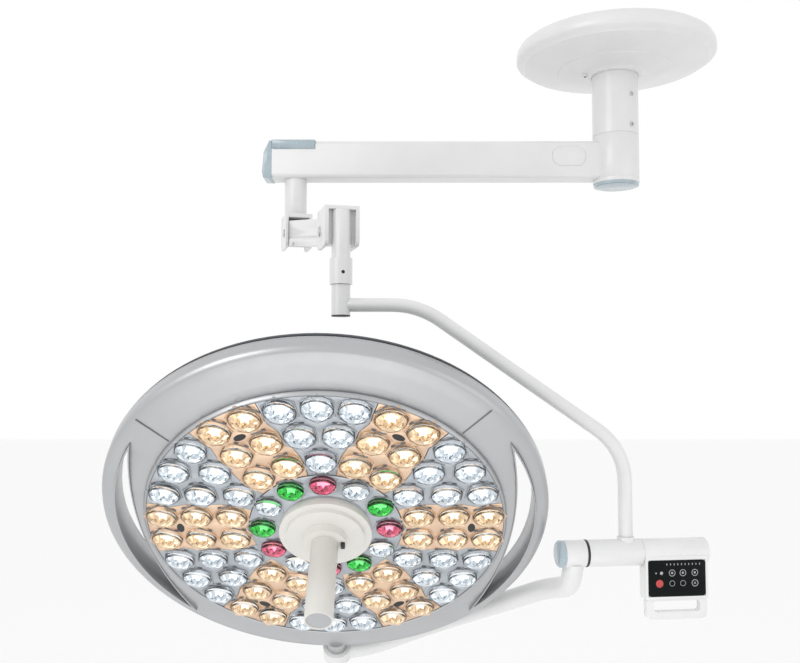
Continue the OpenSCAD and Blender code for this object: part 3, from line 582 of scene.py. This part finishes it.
def handle_end():
    """Grey insert in the handle's end, inside its thin rim."""
    bm = bmesh.new()
    sleeve = frame["nodes"]["handle_sleeve"].data
    face = min((HEAD.inverted() @ v.co).z for v in sleeve.vertices) / MM + 0.5
    add_lathe(bm, [(0, face), (15.5, face), (17.9, face + 0.3), (18.4, face + 0.9), (0, face + 0.9)], HEAD, 64)
    piece("handle_end_insert", "handle", bm, INSERT)


handle_end()


LEGEND_GAP = 0.25                             # legends stand in front of the glass, in mm
UPPER_ROW, LOWER_ROW, BAR_ROW = 0.3, -0.28, 0.78
KEY_COLUMNS = (-0.18, 0.2, 0.62)
BARS, FIRST_BAR, BAR_STEP = 10, -0.36, 0.128


def keypad():
    """Generic legends on the glass: a row of bars, dots, rings and one red button."""
    inv = HUB.inverted()
    local = [inv @ v.co for v in frame["nodes"]["keypad_glass"].data.vertices]
    lo = Vector([min(p[i] for p in local) for i in range(3)])
    hi = Vector([max(p[i] for p in local) for i in range(3)])
    centre, half = (lo + hi) / 2, (hi - lo) / 2
    face_y = lo.y - LEGEND_GAP * MM

    def at(u, v):
        """u and v run from -1 to 1 over the glass, right and up. Z is out of the face."""
        origin = Vector((centre.x + u * half.x, face_y, centre.z + v * half.z))
        return HUB @ Matrix.Translation(origin) @ Matrix.Rotation(math.radians(90), 4, "X")

    def ring(bm, m, r, width):
        add_lathe(bm, [(r - width, 0), (r - width, 0.3), (r, 0.3), (r, 0), (r - width, 0)], m, 32)

    def disc(bm, m, r):
        add_lathe(bm, [(0, 0.35), (r * 0.8, 0.35), (r, 0), (0, 0)], m, 32)

    marks, power = bmesh.new(), bmesh.new()
    for k in range(BARS):
        m = at(FIRST_BAR + k * BAR_STEP, BAR_ROW) @ Matrix.Scale(2.4, 4, (0, 1, 0))
        add_lathe(marks, [(0, 0.3), (0.7, 0.3), (0.7, 0), (0, 0)], m, 12)
    for u in KEY_COLUMNS:
        ring(marks, at(u, UPPER_ROW), 5.4, 0.9)
        disc(marks, at(u, UPPER_ROW), 1.8)
    for u, r in ((-0.74, 1.3), (-0.55, 2.6)):
        disc(marks, at(u, UPPER_ROW), r)
    for u in KEY_COLUMNS[:2]:
        ring(marks, at(u, LOWER_ROW), 4.6, 0.6)
    crossed = at(KEY_COLUMNS[2], LOWER_ROW)
    ring(marks, crossed, 5.6, 1.0)
    for turn in (45, -45):
        m = crossed @ Matrix.Rotation(math.radians(turn), 4, "Z") @ Matrix.Scale(7, 4, (1, 0, 0))
        add_lathe(marks, [(0, 0.3), (0.42, 0.3), (0.42, 0), (0, 0)], m, 8)
    disc(power, at(-0.62, LOWER_ROW), 6.2)
    piece("keypad_legends", "control_box", marks, LEGEND, smooth=20)
    piece("keypad_power_button", "control_box", power, LEGEND_RED, smooth=20)


keypad()


# ---------------------------------------------------------------- studio
FLOOR_Z = -2.7
AIM = Vector((-0.45, -0.4, -0.7))
# name, place, size in metres, watts
LAMPS = (("key", (-2.6, -2.6, 0.3), 1.6, 24), ("fill", (2.2, -2.4, -0.9), 2.0, 7),
         ("under", (-0.6, -1.8, -2.4), 2.0, 9))


def studio():
    """White world, pale floor and three soft area lights."""
    world = bpy.data.worlds.new("studio")
    world.use_nodes = True
    world.node_tree.nodes["Background"].inputs["Color"].default_value = (1, 1, 1, 1)
    world.node_tree.nodes["Background"].inputs["Strength"].default_value = 1.0
    SCENE.world = world
    bm = bmesh.new()
    bmesh.ops.create_grid(bm, x_segments=8, y_segments=8, size=30)
    mesh = bpy.data.meshes.new("floor")
    bm.to_mesh(mesh)
    bm.free()
    mesh.materials.append(paint("floor_paint", (0.95, 0.95, 0.95), rough=0.7, grain=40, bump=0.01, coat=0.0,
                                shade=0.01))
    floor = bpy.data.objects.new("floor", mesh)
    floor.location.z = FLOOR_Z
    SCENE.collection.objects.link(floor)
    for name, where, size, watts in LAMPS:
        data = bpy.data.lights.new(name, "AREA")
        data.size = size
        data.energy = watts
        light = bpy.data.objects.new(name, data)
        light.location = where
        light.rotation_mode = "QUATERNION"
        light.rotation_quaternion = (AIM - Vector(where)).to_track_quat("-Z", "Y")
        SCENE.collection.objects.link(light)
    SCENE.view_settings.view_transform = "Standard"


studio()
